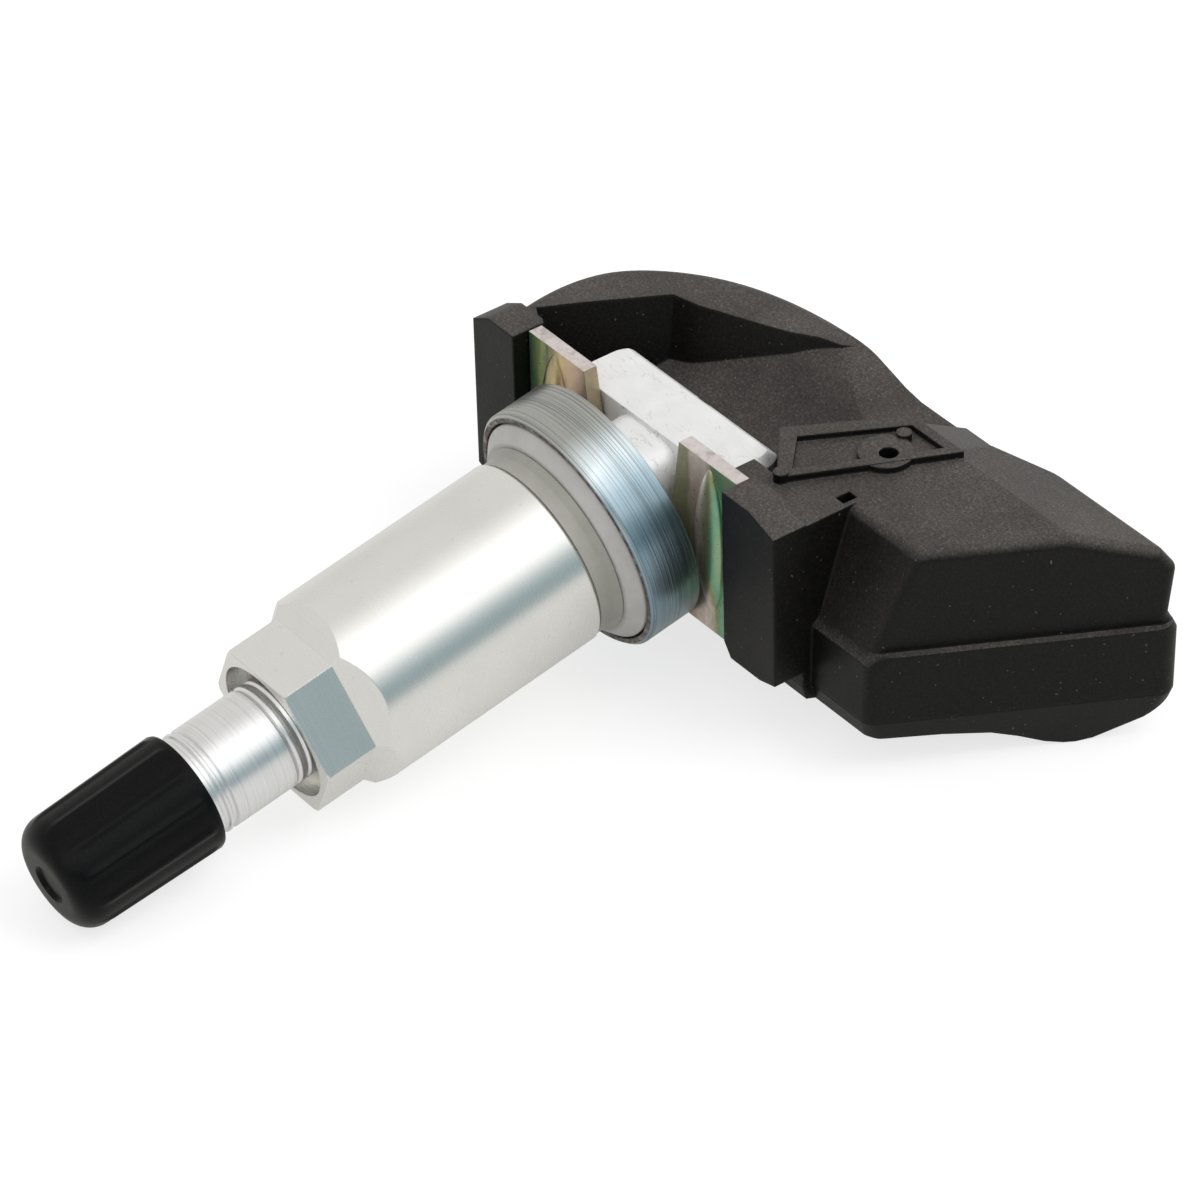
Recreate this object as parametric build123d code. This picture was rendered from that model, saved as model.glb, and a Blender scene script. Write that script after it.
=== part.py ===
from build123d import *
import math
import os

os.makedirs("parts", exist_ok=True)

# Millimetres. The seat frame has its origin at the middle of the steel ring's
# back face: +X along the bracket plate, +Y from the valve into the wheel, +Z up.
# Valve parts are turned about their own Y axis, tip negative, then drooped.

# Valve stations along its axis
DROOP = 11.5
REST_PITCH = 1.8
RING_R = 9.55
RING_WIDTH = 4.3
RING_WEB = 1.0
RING_LIP = 0.65
RING_GAP = 0.15
SEAL_PROUD = 0.85
SEAL_CONE = 1.0
WASHER_R = 7.6
WASHER_NECK_R = 7.1
WASHER_LENGTH = 1.75
NUT_R = 7.25
NUT_LENGTH = 23.4
HEX_FLATS = 11.4
HEX_LENGTH = 3.6
HEX_TURN = 29
HEX_SHOULDER = 1.7
NUT_CHAMFER = 0.5
NUT_EDGE = 0.25
NUT_MOUTH_R = 5.28
NUT_MOUTH_DEPTH = 2.5
NUT_THREAD_LENGTH = 12.8
STEM_R = 3.93
STEM_LENGTH = 46.6
THREAD_PITCH = 0.8
THREAD_DEPTH = 0.16
BOSS_R = 5.6
BOSS_LENGTH = 12.4
FLANGE_R = 6.0
FLANGE_T = 0.4
RUN = 0.06
SLIP = 0.1

# Valve head and neck
NECK_R = 3.8
NECK_TOP = 4.1
NECK_ROUND = 2.4
HEAD_ROUND = 2.6
HEAD_BEVEL = 0.6
POCKET_GAP = 0.3
HEAD_NOSE_R = 2.97
HEAD_Y = 5.9
HEAD_FRONT = 2.8
HEAD_BACK = 2.3
HEAD_TOP = 4.0
OUTLET_R = 0.9

# Valve core
BORE_R = 1.5
CORE_BORE_R = 2.6
CORE_BORE_DEPTH = 10.0
CORE_WALL = 0.8
CORE_SUNK = 0.6
CORE_LENGTH = 9.1
CORE_GROOVE = 6.8
PIN_R = 0.65
PIN_PROUD = 0.4
PLUG_R = 1.3
SPRING_R = 1.15
SPRING_WIRE = 0.17
SPRING_TURNS = 6

# Dust cap
CAP_ENGAGED = 8.8
CAP_LENGTH = 11.75
CAP_R = 4.55
CAP_TIP_R = 4.35
CAP_ROUND = 1.9
CAP_RIBS = 12
CAP_RIB_R = 0.25
CAP_RIB_PROUD = 0.12
CAP_SEAL_T = 0.8
CAP_SEAL_GAP = 0.03
CAP_SEAL_R = 3.3

# Bracket plate
PLATE_FRONT = 1.75
PLATE_T = 1.13
PLATE_HALF = 11.85
PLATE_HIGH = 7.2
SLOT_TOP_HALF = 5.6
SLOT_R = 4.2
SLOT_LOW = 4.6
TAB_X = 10.3
TAB_LENGTH = 3.2
TAB_HIGH = 3.0

# Housing
WING_GAP = 0.1
WING_FRONT = 0.4
WING_RIGHT = 17.6
WING_LEFT = 16.7
WING_TOP = 7.25
WING_LOW = 6.7
WING_BEVEL = 2.7
LEFT_WING_BACK = 3.4
PLATEAU = 5.2
SCOOP_SLOPE = 15
BOX_TOP = 6.2
SEAM = -7.5
WALL = 1.3
END_POINT = (30.2, 16.3)
END_ANGLE = 29.4
END_STEP = 0.6
END_DRAFT = 15
BOX_EDGE = 0.8
STEP_EDGE = 1.2
PLATEAU_EDGE = 0.9
STEP_Z = -1.9
REAR_Y = 21.4
SEAT_GAP = 0.05
SEAT_LIP = 1.5
LIP_SIDE = 1.5
LIP_BACK = 10.2
CEILING = -2.9
BOX_CEILING = 4.4
SHOULDER_CUT = ((15.0, 19.47), (24.5, 23.4), (24.5, 26.0), (15.0, 26.0))
PORT_AT = (15.1, 12.6)
PORT_R = 0.7

# Electronics
BOARD_T = 1.0
BOARD_UNDER = 0.4
BOARD_GAP = 0.2
CELL_AT = (-2.4, 11.9)
CELL_R = 7.5
CELL_T = 3.2
TAB_T = 0.15
CHIP_T = 2.0
RADIO_AT = (24.2, 17.6)
CRYSTAL_AT = (18.4, 18.4)
COIL_AT = (19.9, 11.8)
ANTENNA_LEFT = 16.6
ANTENNA_END_GAP = 1.59
ANTENNA_Y = 6.2
ANTENNA_HIGH = 3.4
CAPACITORS = ((8.4, 7.0), (8.4, 9.0), (8.4, 15.6), (8.4, 17.6), (12.0, 18.4))

RING_BACK = 0.0
RING_FRONT = -RING_WIDTH
SEAL_FACE = RING_FRONT - SEAL_PROUD
NUT_BACK = SEAL_FACE - WASHER_LENGTH
NUT_FRONT = NUT_BACK - NUT_LENGTH
PLATE_BACK = PLATE_FRONT + PLATE_T
SEAT_R = HEAD_NOSE_R + SEAT_GAP
HEAD_Z = HEAD_Y * math.tan(math.radians(DROOP))
BOARD_LOW = SEAM - BOARD_UNDER
BOARD_TOP = BOARD_LOW + BOARD_T
CAP_BACK = STEM_LENGTH - CAP_ENGAGED
CAP_TIP = CAP_BACK + CAP_LENGTH
CORE_BORE_END = STEM_LENGTH - CORE_BORE_DEPTH
CORE_TIP = STEM_LENGTH - CORE_SUNK
HEAD_HALF = RING_R - RING_LIP


def turned(points):
    """Solid of revolution about Y from (radius, station) points."""
    return revolve(make_face(Polyline(*points, close=True)), Axis.Y)


def ring_of(inner, outer, low, high):
    """Plain sleeve about Y between two stations."""
    return turned([(inner, low), (outer, low), (outer, high), (inner, high)])


def side_extrusion(points, low, high):
    """Extrude (Y, Z) points along X."""
    face = Plane.YZ * make_face(Polyline(*points, close=True))
    return Pos(low, 0, 0) * extrude(face, high - low)


def plan_extrusion(points, low, high):
    """Extrude (X, Y) points along Z."""
    face = make_face(Polyline(*points, close=True))
    return Pos(0, 0, low) * extrude(face, high - low)


def front_extrusion(points, low, high):
    """Extrude (X, Z) points along Y."""
    face = Plane.XZ * make_face(Polyline(*points, close=True))
    return Pos(0, high, 0) * extrude(face, high - low)


def block(x0, x1, y0, y1, z0, z1):
    """Axis-aligned box from its corners."""
    centre = Pos((x0 + x1) / 2, (y0 + y1) / 2, (z0 + z1) / 2)
    return centre * Box(x1 - x0, y1 - y0, z1 - z0)


def upright(x, y, radius, low, high):
    """Vertical cylinder between two heights."""
    return Pos(x, y, (low + high) / 2) * Cylinder(radius, high - low)


def end_cutter(offset, low, high):
    """Everything beyond the slanted end face moved out by an offset."""
    turn = math.radians(END_ANGLE)
    normal = (math.cos(turn), -math.sin(turn))
    along = (math.sin(turn), math.cos(turn))
    cx = END_POINT[0] + normal[0] * offset
    cy = END_POINT[1] + normal[1] * offset
    near = (cx - along[0] * 40, cy - along[1] * 40)
    far = (cx + along[0] * 40, cy + along[1] * 40)
    points = [near, far]
    points.append((far[0] + normal[0] * 60, far[1] + normal[1] * 60))
    points.append((near[0] + normal[0] * 60, near[1] + normal[1] * 60))
    return plan_extrusion(points, low, high)


def outline_face(inset):
    """Plan of the round battery side, straight across at the box side."""
    front = (-WING_LEFT + inset, PLATE_BACK + inset)
    rear = (2.0, REAR_Y - inset)
    side = [
        front,
        (-17.4 + inset, 6.0),
        (-17.6 + inset, 9.5),
        (-16.9 + inset, 12.6 - inset * 0.3),
        (-14.6 + inset * 0.8, 15.8 - inset * 0.6),
        (-10.5 + inset * 0.5, 18.8 - inset * 0.9),
        (-4.5 + inset * 0.2, 20.8 - inset),
        rear,
    ]
    curve = Spline(*side)
    right = 24.6 - inset
    wing = WING_RIGHT - inset
    rest = [rear, (right, REAR_Y - inset), (right, 12.0 + inset), (wing, 12.0 + inset)]
    rest += [(wing, PLATE_BACK + inset), front]
    return make_face(Curve() + [curve, Polyline(*rest)])


# Valve parts, drooped into the seat frame
VALVE = Rot(DROOP, 0, 0)


def threaded(radius, low, high):
    """Outer thread profile points from one station down to another."""
    points = []
    station = high
    while station - THREAD_PITCH > low:
        points.append((radius, station))
        points.append((radius, station - THREAD_PITCH * 0.45))
        points.append((radius - THREAD_DEPTH, station - THREAD_PITCH * 0.7))
        station -= THREAD_PITCH
    points.append((radius, station))
    points.append((radius, low))
    return points


def make_stem():
    """Stem, boss, neck and T-shaped head in one piece, with its air bore."""
    outer = [(BORE_R, 0.9), (3.5, 0.9), (4.2, 0.6), (FLANGE_R, FLANGE_T), (FLANGE_R, RING_BACK)]
    outer += [(BOSS_R, RING_BACK), (BOSS_R, -BOSS_LENGTH), (STEM_R, -BOSS_LENGTH - 0.9)]
    outer += threaded(STEM_R, NUT_FRONT - 1.6, NUT_FRONT + 1.5)
    for groove in (CAP_BACK - 1.6, CAP_BACK - 0.9):
        outer += [(STEM_R, -groove), (STEM_R - 0.2, -groove - 0.1)]
        outer += [(STEM_R - 0.2, -groove - 0.4), (STEM_R, -groove - 0.5)]
    outer += [(STEM_R, -STEM_LENGTH + 0.4), (STEM_R - 0.4, -STEM_LENGTH)]
    outer += [(CORE_BORE_R, -STEM_LENGTH), (CORE_BORE_R, -CORE_BORE_END)]
    outer += [(BORE_R, -CORE_BORE_END + 1.2)]
    stem = turned(outer)
    neck = Pos(0, 2.9, 0) * Rot(90, 0, 0) * Cylinder(NECK_R, 4.4)
    crown = extrude(RectangleRounded(2 * NECK_R, 2 * NECK_TOP, NECK_ROUND), 4.4)
    crown = Pos(0, 5.1, 0) * Rot(90, 0, 0) * crown & block(-6, 6, 0, 6, 0, 6)
    neck = neck + crown - block(-6, 6, 1.9, 8, -6, -1.7)
    stem = VALVE * (stem + neck)
    nose = Pos(0, HEAD_Y, HEAD_Z) * Rot(0, 90, 0) * Cylinder(HEAD_NOSE_R, 2 * HEAD_HALF)
    cheek = [(-HEAD_FRONT, 0.0), (-HEAD_FRONT, HEAD_TOP - 0.1), (-0.75, HEAD_TOP + 0.05)]
    cheek += [(HEAD_BACK - 0.6, HEAD_TOP + 0.05), (HEAD_BACK, HEAD_TOP - 0.5), (HEAD_BACK, 1.85), (0.0, -1.0)]
    cheek = [(HEAD_Y + u, HEAD_Z + v) for u, v in cheek]
    head = nose + side_extrusion(cheek, -HEAD_HALF, HEAD_HALF)
    plan = Pos(0, HEAD_Y - 0.4) * RectangleRounded(2 * HEAD_HALF, 2 * HEAD_NOSE_R + 1.2, HEAD_ROUND)
    bevel = HEAD_Z + HEAD_TOP - HEAD_BEVEL
    limit = Pos(0, 0, -4) * extrude(plan, bevel + 4)
    limit = limit + Pos(0, 0, bevel) * extrude(plan, 1.5 * HEAD_BEVEL, taper=45)
    stem = stem + (head & limit)
    bore = VALVE * (Pos(0, 2.6, 0) * Rot(90, 0, 0) * Cylinder(BORE_R, 6.8))
    outlet = Pos(0, HEAD_Y, HEAD_Z) * Rot(-41, 0, 0) * Pos(0, 0, 3.0) * Cylinder(OUTLET_R, 6.0)
    return stem - bore - outlet


def make_ring():
    """Steel cup that holds the rubber seal."""
    inner = RING_R - RING_LIP
    points = [(BOSS_R + RUN, RING_BACK), (RING_R - 0.15, RING_BACK), (RING_R, -0.15)]
    points += [(RING_R, RING_FRONT + 0.3), (RING_R - 0.3, RING_FRONT), (inner, RING_FRONT)]
    points += [(inner, -RING_WEB), (BOSS_R + RUN, -RING_WEB)]
    return turned(points)


def make_seal():
    """Rubber seal pressed into the ring."""
    radius = RING_R - RING_LIP - RING_GAP
    points = [(BOSS_R + 0.02, -RING_WEB), (radius, -RING_WEB), (radius, RING_FRONT)]
    points += [(radius - SEAL_CONE, SEAL_FACE), (BOSS_R + 0.02, SEAL_FACE)]
    return turned(points)


def make_washer():
    """Waisted pressure washer between seal and nut."""
    waist = SEAL_FACE - 0.7
    points = [(BOSS_R + SLIP, SEAL_FACE), (WASHER_R, SEAL_FACE), (WASHER_R, SEAL_FACE - 0.15)]
    points += [(WASHER_NECK_R + 0.05, waist), (WASHER_NECK_R - 0.15, NUT_BACK), (BOSS_R + SLIP, NUT_BACK)]
    return turned(points)


def make_nut():
    """Sleeve nut with a hexagon milled on its front end."""
    bore = STEM_R + RUN
    thread_end = NUT_FRONT + NUT_MOUTH_DEPTH + NUT_THREAD_LENGTH
    chamfer_r = NUT_CHAMFER / math.tan(math.radians(30))
    points = [(BOSS_R + SLIP, NUT_BACK), (NUT_R - NUT_EDGE, NUT_BACK), (NUT_R, NUT_BACK - NUT_EDGE)]
    points += [(NUT_R, NUT_FRONT + NUT_CHAMFER), (NUT_R - chamfer_r, NUT_FRONT), (NUT_MOUTH_R, NUT_FRONT)]
    points += [(NUT_MOUTH_R, NUT_FRONT + NUT_MOUTH_DEPTH), (bore, NUT_FRONT + NUT_MOUTH_DEPTH + 0.6)]
    points += [(bore, thread_end), (BOSS_R + SLIP, thread_end + 0.9)]
    nut = turned(points)
    flat = HEX_FLATS / 2
    back = NUT_FRONT + NUT_CHAMFER + HEX_LENGTH
    rise = NUT_R + 0.4 - flat
    run = HEX_SHOULDER * rise / (NUT_R - flat)
    wedge = [(flat, NUT_FRONT - 1), (flat + 4, NUT_FRONT - 1), (flat + 4, back + run)]
    wedge += [(flat + rise, back + run), (flat, back)]
    cutter = make_face(Polyline(*wedge, close=True))
    cutter = Pos(0, 0, -6) * extrude(cutter, 12)
    for index in range(6):
        nut = nut - Rot(0, 60 * index - HEX_TURN, 0) * cutter
    return nut


def make_cap():
    """Dust cap with lengthwise ribs."""
    hollow = STEM_LENGTH + CAP_SEAL_T
    points = [(STEM_R + RUN, -CAP_BACK), (CAP_R - 0.2, -CAP_BACK), (CAP_R, -CAP_BACK - 0.2)]
    points += [(CAP_TIP_R, -CAP_TIP + CAP_ROUND)]
    for step in range(1, 10):
        turn = math.radians(10 * step)
        radius = CAP_TIP_R - CAP_ROUND * (1 - math.cos(turn))
        points.append((radius, -CAP_TIP + CAP_ROUND - CAP_ROUND * math.sin(turn)))
    points += [(1.5, -CAP_TIP), (1.3, -CAP_TIP + 0.25), (0, -CAP_TIP + 0.25)]
    points += [(0, -hollow), (STEM_R + RUN, -hollow)]
    cap = turned(points)
    reach = CAP_LENGTH - CAP_ROUND - 1.2
    middle = -(CAP_BACK + 0.7 + reach / 2)
    tilt = math.degrees(math.atan((CAP_R - CAP_TIP_R) / (CAP_LENGTH - CAP_ROUND)))
    at = (CAP_R + CAP_TIP_R) / 2 - CAP_RIB_R + CAP_RIB_PROUD
    for index in range(CAP_RIBS):
        rib = Pos(at, middle, 0) * Rot(0, 0, -tilt) * Rot(90, 0, 0) * Cylinder(CAP_RIB_R, reach)
        cap = cap + Rot(0, 360 / CAP_RIBS * (index + 0.5), 0) * rib
    return cap


def make_cap_seal():
    """Rubber disc that the cap presses on the stem's end."""
    far = -STEM_LENGTH - CAP_SEAL_T + CAP_SEAL_GAP
    return turned([(0, far), (CAP_SEAL_R, far), (CAP_SEAL_R, -STEM_LENGTH), (0, -STEM_LENGTH)])


CORE_LOW = -CORE_TIP + CORE_LENGTH
CORE_R = CORE_BORE_R - SLIP
CORE_IN = CORE_R - CORE_WALL


def make_core_body():
    """Screwed core sleeve, closed to the pin at both ends."""
    hole = PIN_R + 0.08
    groove = -CORE_TIP + CORE_GROOVE
    outer = [(hole, -CORE_TIP), (CORE_R, -CORE_TIP), (CORE_R, groove), (CORE_R - 0.4, groove)]
    outer += [(CORE_R - 0.4, groove + 1.0), (CORE_R, groove + 1.0), (CORE_R, CORE_LOW), (hole, CORE_LOW)]
    outer += [(hole, CORE_LOW - CORE_WALL), (CORE_IN, CORE_LOW - CORE_WALL)]
    outer += [(CORE_IN, -CORE_TIP + CORE_WALL), (hole, -CORE_TIP + CORE_WALL)]
    return turned(outer)


def make_core_pin():
    """Pin with its collar over the spring and its plug under the sleeve."""
    collar = -CORE_TIP + CORE_WALL + 0.1
    plug = CORE_LOW + 0.05
    points = [(0, -CORE_TIP - PIN_PROUD), (PIN_R, -CORE_TIP - PIN_PROUD), (PIN_R, collar)]
    points += [(SPRING_R + 0.15, collar), (SPRING_R + 0.15, collar + 0.5), (PIN_R, collar + 0.5)]
    points += [(PIN_R, plug), (PLUG_R, plug), (PLUG_R - 0.4, plug + 0.9), (0, plug + 0.9)]
    return turned(points)


def make_core_spring():
    """Return spring of the core pin."""
    low = -CORE_TIP + CORE_WALL + 0.6 + SPRING_WIRE
    high = CORE_LOW - CORE_WALL - SPRING_WIRE
    path = Helix((high - low) / SPRING_TURNS, high - low, SPRING_R)
    start = Plane(origin=path @ 0, z_dir=path % 0)
    wire = sweep(start * RegularPolygon(SPRING_WIRE, 6), path=path)
    return Pos(0, low, 0) * Rot(-90, 0, 0) * wire


def make_core_gasket():
    """Sealing ring in the core's groove."""
    groove = -CORE_TIP + CORE_GROOVE
    return ring_of(CORE_R - 0.38, CORE_BORE_R - 0.03, groove + 0.02, groove + 0.98)


def make_bracket():
    """Spring steel plate with its open slot, pressed lenses and rear tabs."""
    middle = SLOT_R - SLOT_LOW
    plate = block(-PLATE_HALF, PLATE_HALF, PLATE_FRONT, PLATE_BACK, -PLATE_HIGH, PLATE_HIGH)
    mouth = [(-SLOT_R, middle), (SLOT_R, middle)]
    mouth += [(SLOT_TOP_HALF, PLATE_HIGH + 1), (-SLOT_TOP_HALF, PLATE_HIGH + 1)]
    plate = plate - front_extrusion(mouth, PLATE_FRONT - 1, PLATE_BACK + 1)
    plate = plate - Pos(0, PLATE_FRONT, middle) * Rot(90, 0, 0) * Cylinder(SLOT_R, 4)
    for side in (-1, 1):
        centre = Pos(side * 8.9, PLATE_FRONT, -0.6)
        disc = Rot(90, 0, 0) * Cylinder(9.0, 0.5)
        plate = plate + centre * (Pos(-7.9, 0, 0) * disc & Pos(7.9, 0, 0) * disc)
        reach = PLATE_BACK + TAB_LENGTH
        tab = block(TAB_X - 0.55, TAB_X + 0.55, PLATE_BACK - 0.5, reach, -6.0, -6.0 + TAB_HIGH)
        plate = plate + (tab if side > 0 else tab.mirror(Plane.YZ))
    return plate


def box_profile():
    """Side outline of the box end above the seam."""
    return [
        (3.6, SEAM),
        (3.75, STEP_Z - 0.7),
        (4.45, STEP_Z),
        (7.05, BOX_TOP - 0.5),
        (7.5, BOX_TOP),
        (16.6, BOX_TOP),
        (22.3, 4.15),
        (23.3, 2.6),
        (22.9, STEP_Z + 0.6),
        (23.4, STEP_Z - 0.6),
        (23.3, SEAM),
    ]


def under_profile():
    """Side outline of the cover below the seam, with its standing ridge."""
    return [
        (PLATE_BACK, SEAM),
        (PLATE_BACK + 0.3, -8.7),
        (4.6, -9.2),
        (8.6, -9.4),
        (11.6, -9.8),
        (13.4, -10.5),
        (15.2, -11.4),
        (16.4, -11.75),
        (17.2, -11.8),
        (18.2, -11.55),
        (21.0, -9.8),
        (22.6, -8.4),
        (23.3, SEAM),
    ]


def low_space(low, high, inset):
    """Flat space that the circuit board fills, drawn in by an inset."""
    left = Pos(0, 0, low) * extrude(outline_face(inset), high - low)
    right = block(16.0, 34.0, 4.1 + inset, REAR_Y - inset, low, high)
    return left + right - end_cutter(-inset - 0.2, low - 1, high + 1)


def cavity(low):
    """Space for the electronics, from a height up to the ceilings."""
    plan = [(10.4, 9.0), (14.6, 16.4), (15.0, 19.2), (34.0, 19.2), (34.0, 9.0)]
    box = plan_extrusion(plan, low, BOX_CEILING)
    return low_space(low, CEILING, WALL) + (box - end_cutter(-WALL - 0.2, low - 1, BOX_CEILING + 1))


def rounded_box(box):
    """Round the box end's outer edges, above and below the step."""
    turn = math.radians(END_ANGLE)
    normal = Vector(math.cos(turn), -math.sin(turn), 0)
    ends = [face for face in box.faces() if face.area > 5 and face.normal_at().dot(normal) > 0.99]
    ends.sort(key=lambda face: face.center().Z)
    high = [edge for edge in ends[-1].edges() if (edge @ 0.5).Z > STEP_Z + 0.1]
    long = [edge for edge in box.edges() if edge.length > 7 and (edge @ 0.5).Z > 1]
    high += [edge for edge in long if abs((edge % 0.5).X) > 0.99]
    box = fillet(high, BOX_EDGE)
    ends = [face for face in box.faces() if face.area > 5 and face.normal_at().dot(normal) > 0.99]
    ends.sort(key=lambda face: face.center().Z)
    low = [edge for edge in ends[0].edges() if SEAM + 0.1 < (edge @ 0.5).Z < STEP_Z - 0.1]
    return fillet(low, STEP_EDGE)


def over_floor():
    """Space above the scoop's floor, which curves up to the rear rim."""
    floor = [(9.0, -0.6), (13.0, 0.4), (16.4, 2.9), (18.5, 4.2), (24.0, 5.1)]
    rise = Spline(*floor, tangents=((1, 0), (1, 0.1)))
    rest = Polyline((24.0, 5.1), (24.0, 12.0), (PLATE_BACK, 12.0), (PLATE_BACK, -0.6), (9.0, -0.6))
    face = Plane.YZ * make_face(Curve() + [rise, rest])
    return Pos(-20, 0, 0) * extrude(face, 40)


def make_housing():
    """Moulded body with wings, scoop, head seat and electronics space."""
    left = Pos(0, 0, SEAM) * extrude(outline_face(0), PLATEAU - SEAM)
    fall = [(-0.5, PLATEAU), (2.5, 4.6), (6.3, 3.4), (8.6, 3.0), (30.0, 3.0), (30.0, 8.0), (-0.5, 8.0)]
    rim = [edge for edge in left.edges() if edge.length > 20 and edge.center().Z > PLATEAU - 0.1]
    left = fillet([edge for edge in rim if edge.geom_type == GeomType.BSPLINE], PLATEAU_EDGE)
    left = left - front_extrusion(fall, 10.0, 30.0)
    upper = side_extrusion(box_profile(), WING_RIGHT - 0.6, 40.0)
    upper = upper - end_cutter(0, STEP_Z, 20.0) - end_cutter(END_STEP, SEAM - 1, STEP_Z)
    upper = rounded_box(upper)
    upper = upper - plan_extrusion(SHOULDER_CUT, STEP_Z, 20.0)
    pad = [(PLATE_BACK, SEAM), (PLATE_BACK, BOX_TOP), (16.6, BOX_TOP), (REAR_Y, 3.6), (REAR_Y, SEAM)]
    pad = side_extrusion(pad, 6.0, 25.0) - end_cutter(0, SEAM - 1, 20.0)
    pad = pad - block(WING_RIGHT, 40.0, 0.0, 12.0, SEAM - 1, 20.0)
    plan = [(8.0, 8.6), (12.7, 16.7), (13.4, 30.0), (6.0, 30.0), (0.0, 8.6)]
    pad = pad - plan_extrusion(plan, 3.1, 20.0)
    half = HEAD_HALF + POCKET_GAP
    pad = pad - block(0.0, half, 0.0, 8.7, 1.0, 20.0)
    body = left + pad + upper

    right = [(PLATE_HALF + WING_GAP, -5.6), (12.7, -WING_LOW), (15.9, -WING_LOW), (WING_RIGHT, -6.3)]
    right += [(WING_RIGHT, 6.3), (WING_RIGHT - WING_BEVEL, WING_TOP), (PLATE_HALF + WING_GAP, WING_TOP)]
    body = body + front_extrusion(right, WING_FRONT, PLATE_BACK + 0.4)
    rear_wing = [(PLATE_HALF, SEAM), (WING_RIGHT, SEAM), (WING_RIGHT, 5.9)]
    rear_wing += [(WING_RIGHT - WING_BEVEL, BOX_TOP), (PLATE_HALF, BOX_TOP)]
    body = body + front_extrusion(rear_wing, PLATE_BACK, 7.5)
    left_wing = [(-x if x < WING_RIGHT else -WING_LEFT, z) for x, z in right]
    body = body + front_extrusion(left_wing, WING_FRONT, LEFT_WING_BACK)

    plan = [(-11.9, -3.0), (-11.9, 3.1), (-16.2, 5.6), (-14.5, 8.8), (-11.3, 14.2), (-9.0, 14.8)]
    plan += [(-4.1, 16.9), (-2.2, 17.8), (0.9, 19.9), (5.5, 26.0)]
    plan += [(13.2, 26.0), (12.7, 16.7), (8.0, 8.6), (half, -3.0)]
    face = make_face(Polyline(*plan, close=True))
    scoop = Pos(0, 0, PLATEAU) * extrude(face, 8.0, (0, 0, -1), taper=SCOOP_SLOPE)
    scoop = scoop + plan_extrusion(plan, PLATEAU, 12.0)
    body = body - (scoop & over_floor())
    lip = HEAD_HALF + LIP_SIDE
    body = body + block(-lip, lip, PLATE_BACK, LIP_BACK, CEILING - 0.2, SEAT_LIP)
    seat = Pos(0, HEAD_Y, HEAD_Z) * Rot(0, 90, 0) * Cylinder(SEAT_R, 2 * half)
    body = body - seat - block(-half, half, PLATE_BACK - 1, HEAD_Y, HEAD_Z - 2.6, 9.0)
    body = body - block(-half, half, HEAD_Y - 0.5, HEAD_Y + SEAT_R, HEAD_Z, 9.0)
    body = body - block(half - 0.2, 11.4, 5.4, 7.6, 2.6, 9.0)
    body = body - cavity(SEAM - 1)

    rim = [(9.6, 8.9), (13.6, 15.9), (17.1, 15.9), (12.3, 6.3)]
    panel = [(8.0, 8.6), (12.7, 16.7), (18.3, 16.7), (WING_RIGHT - 5.1, 4.8)]
    body = body + plan_extrusion(panel, BOX_TOP - 0.5, BOX_TOP + 0.55)
    body = body - plan_extrusion(rim, BOX_TOP + 0.1, BOX_TOP + 2)
    body = body + upright(PORT_AT[0] - 0.3, PORT_AT[1], 2.0, BOX_TOP - 0.5, BOX_TOP + 0.5)
    body = body - upright(PORT_AT[0], PORT_AT[1], PORT_R, BOX_CEILING - 1, BOX_TOP + 3)
    body = body - block(16.3, 17.2, 6.9, 8.1, BOX_TOP - 0.8, BOX_TOP + 1)
    for x, y in ((14.1, 14.8), (12.3, 5.3)):
        body = body + upright(x, y, 0.55, BOX_TOP - 0.3, BOX_TOP + 0.75)
    for side in (-1, 1):
        x = side * TAB_X
        reach = PLATE_BACK + TAB_LENGTH + 0.1
        body = body - block(x - 0.6, x + 0.6, PLATE_BACK - 1, reach, -6.05, -5.95 + TAB_HIGH)
    return body


def end_plan():
    """Plan of the box end below the step, with its end corners rounded."""
    turn = math.radians(END_ANGLE)
    start = WING_RIGHT - 2.6
    points = [(start, 3.6)]
    for y in (3.6, 23.3):
        reach = END_POINT[0] + END_STEP / math.cos(turn)
        points.append((reach + (y - END_POINT[1]) * math.tan(turn), y))
    face = make_face(Polyline(*points, (start, 23.3), close=True))
    return fillet(face.vertices().sort_by(Axis.X)[-2:], STEP_EDGE)


def make_cover():
    """Bottom cover with the ridge that stands on the wheel well."""
    plan = Pos(0, 0, -14) * extrude(outline_face(0), 20)
    box = Pos(0, 0, SEAM) * extrude(end_plan(), 6.0, (0, 0, -1), taper=END_DRAFT)
    under = side_extrusion(under_profile(), -20.0, 40.0)
    cover = under & (plan - block(20.0, 40.0, -5, 30, -15, 7) + box)
    return cover - low_space(BOARD_LOW, SEAM + 1, WALL)


def make_board():
    """Circuit board that lies in the cover."""
    return low_space(BOARD_LOW, BOARD_TOP, WALL + BOARD_GAP)


def make_cell():
    """Coin cell with its stepped can."""
    low = BOARD_TOP + TAB_T
    can = upright(CELL_AT[0], CELL_AT[1], CELL_R, low + 0.4, low + CELL_T)
    return can + upright(CELL_AT[0], CELL_AT[1], CELL_R - 1.2, low, low + 0.5)


def make_upper_tab():
    """Contact strip over the cell, folded down to the board."""
    top = BOARD_TOP + TAB_T + CELL_T
    x, y = CELL_AT
    strip = block(x - 2, x + CELL_R + 1.0, y - 1.5, y + 1.5, top, top + TAB_T)
    leg = block(x + CELL_R + 1.0 - TAB_T, x + CELL_R + 1.0, y - 1.5, y + 1.5, BOARD_TOP, top + TAB_T)
    return strip + leg


def make_lower_tab():
    """Contact strip between the cell and the board."""
    x, y = CELL_AT
    return block(x - CELL_R - 1.5, x + 2, y - 1.5, y + 1.5, BOARD_TOP, BOARD_TOP + TAB_T)


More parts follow.
